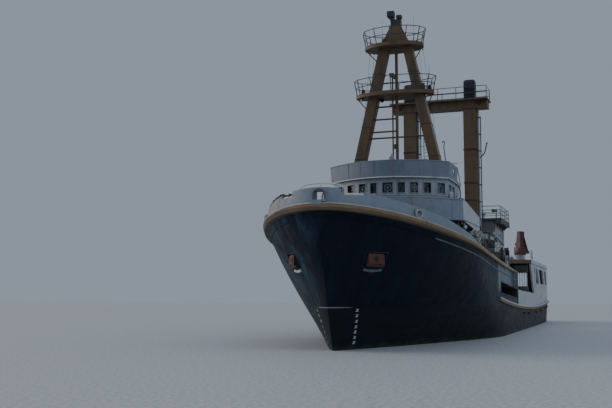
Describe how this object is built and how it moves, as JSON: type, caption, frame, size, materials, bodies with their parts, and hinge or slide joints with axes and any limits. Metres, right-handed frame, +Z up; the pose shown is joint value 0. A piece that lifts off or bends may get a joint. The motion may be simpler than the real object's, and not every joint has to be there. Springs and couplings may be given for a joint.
{
  "type": "half-size scale model of a stern fishing trawler",
  "caption": "Stern fishing trawler at half size: dark flared hull, buff rubbing strakes, wheelhouse with curved visor, raking mast, exhaust gantry and covered net deck with a crane.",
  "frame": {"origin": "on the centreline at the waterline, 18.95 m forward of the transom, where the ship floats", "axes": "+X towards the bow, +Y to port, +Z up from the waterline"},
  "size_m": [33.0272, 6.5, 14.24],
  "materials": {
    "hull_paint": "satin, scuffed",
    "buff_paint": "matte, weathered",
    "grey_paint": "matte, rust streaked",
    "white_paint": "satin, rust streaked",
    "red_paint": "satin",
    "antifouling": "matte",
    "cowl_paint": "satin",
    "gear_steel": "worn, greasy",
    "bronze": "machined",
    "glass": "clear",
    "lamp_glass": "clear lens",
    "black_rubber": "matte",
    "net_twine": "coarse twine",
    "rope": "laid rope",
    "galvanised": "dull zinc"
  },
  "bodies": {
    "ship": {"hull": "hull_paint", "upper_strake": "buff_paint", "forward_bulwark": "grey_paint", "lower_strake_port": "buff_paint", "lower_strake_starboard": "buff_paint", "anchor_port": "red_paint", "anchor_starboard": "red_paint", "windlass_frame": "grey_paint", "bridge_deck": "grey_paint", "lower_deckhouse": "white_paint", "wheelhouse_walls": "white_paint", "wheelhouse_glass": "glass", "wheelhouse_roof": "grey_paint", "bipod_mast": "buff_paint", "gantry_post_port": "buff_paint", "gantry_post_starboard": "buff_paint", "gantry_beam": "buff_paint", "exhaust_cowl_port": "cowl_paint", "exhaust_cowl_starboard": "cowl_paint", "after_deckhouse": "grey_paint", "wing_platform": "grey_paint", "winch_frame_port": "grey_paint", "winch_frame_starboard": "grey_paint", "shelter_side_port": "white_paint", "shelter_side_starboard": "white_paint", "shelter_roof": "white_paint", "crane_pedestal": "grey_paint", "net_drum_frame_port": "grey_paint", "net_drum_frame_starboard": "grey_paint", "hatch_coaming": "grey_paint", "life_raft_port": "white_paint", "life_raft_starboard": "white_paint", "bitts_port": "gear_steel", "bitts_starboard": "gear_steel", "roof_ventilator": "white_paint", "crows_nest": "buff_paint", "mid_platform": "buff_paint"},
    "propeller": {"propeller": "bronze"},
    "rudder": {"rudder": "antifouling"},
    "windlass_drum": {"windlass_drum": "gear_steel"},
    "winch_drum_port": {"winch_drum_port": "gear_steel"},
    "winch_drum_starboard": {"winch_drum_starboard": "gear_steel"},
    "net_drum": {"net_drum": "red_paint"},
    "deckhouse_door_port": {"deckhouse_door_port": "grey_paint"},
    "deckhouse_door_starboard": {"deckhouse_door_starboard": "grey_paint"},
    "wheelhouse_door_port": {"wheelhouse_door_port": "white_paint"},
    "wheelhouse_door_starboard": {"wheelhouse_door_starboard": "white_paint"},
    "after_house_door": {"after_house_door": "grey_paint"},
    "hatch_lid": {"hatch_lid": "grey_paint"},
    "crane_column": {"crane_column": "red_paint"},
    "crane_boom": {"crane_boom": "red_paint"}
  },
  "joints": [
    {"name": "propeller_spin", "type": "hinge", "parent": "ship", "child": "propeller", "pos_m": [-16.3, 0, -1.625], "axis": [1, 0, 0], "continuous": true},
    {"name": "rudder_turn", "type": "hinge", "parent": "ship", "child": "rudder", "pos_m": [-17.15, 0, -2.43], "axis": [0, 0, 1], "range_deg": [-35, 35]},
    {"name": "windlass_spin", "type": "hinge", "parent": "ship", "child": "windlass_drum", "pos_m": [11.3, 0, 3.875], "axis": [0, 1, 0], "continuous": true},
    {"name": "winch_port_spin", "type": "hinge", "parent": "ship", "child": "winch_drum_port", "pos_m": [-0.95, 2.5, 2.975], "axis": [0, 1, 0], "continuous": true},
    {"name": "winch_starboard_spin", "type": "hinge", "parent": "ship", "child": "winch_drum_starboard", "pos_m": [-0.95, -2.5, 2.975], "axis": [0, 1, 0], "continuous": true},
    {"name": "net_drum_spin", "type": "hinge", "parent": "ship", "child": "net_drum", "pos_m": [-8.7, 0, 1.775], "axis": [0, 1, 0], "continuous": true},
    {"name": "deckhouse_door_port_swing", "type": "hinge", "parent": "ship", "child": "deckhouse_door_port", "pos_m": [2.2, 1.9679, 3.1], "axis": [0, 0, -1], "range_deg": [0, 100]},
    {"name": "deckhouse_door_starboard_swing", "type": "hinge", "parent": "ship", "child": "deckhouse_door_starboard", "pos_m": [2.2, -1.9679, 3.1], "axis": [0, 0, 1], "range_deg": [0, 100]},
    {"name": "wheelhouse_door_port_swing", "type": "hinge", "parent": "ship", "child": "wheelhouse_door_port", "pos_m": [5.05, 1.9929, 4.5], "axis": [0, 0, -1], "range_deg": [0, 100]},
    {"name": "wheelhouse_door_starboard_swing", "type": "hinge", "parent": "ship", "child": "wheelhouse_door_starboard", "pos_m": [5.05, -1.9929, 4.5], "axis": [0, 0, 1], "range_deg": [0, 100]},
    {"name": "after_house_door_swing", "type": "hinge", "parent": "ship", "child": "after_house_door", "pos_m": [-5.7179, 1.4, 1.6], "axis": [0, 0, -1], "range_deg": [0, 100]},
    {"name": "hatch_lid_swing", "type": "hinge", "parent": "ship", "child": "hatch_lid", "pos_m": [-12.325, 0, 1.2597], "axis": [0, -1, 0], "range_deg": [0, 100]},
    {"name": "crane_slew", "type": "hinge", "parent": "ship", "child": "crane_column", "pos_m": [-8.9, 2.6, 3.4758], "axis": [0, 0, 1], "continuous": true},
    {"name": "crane_luff", "type": "hinge", "parent": "crane_column", "child": "crane_boom", "pos_m": [-9.0484, 2.6927, 4.55], "axis": [0.5299, 0.848, 0], "range_deg": [0, 100]}
  ]
}
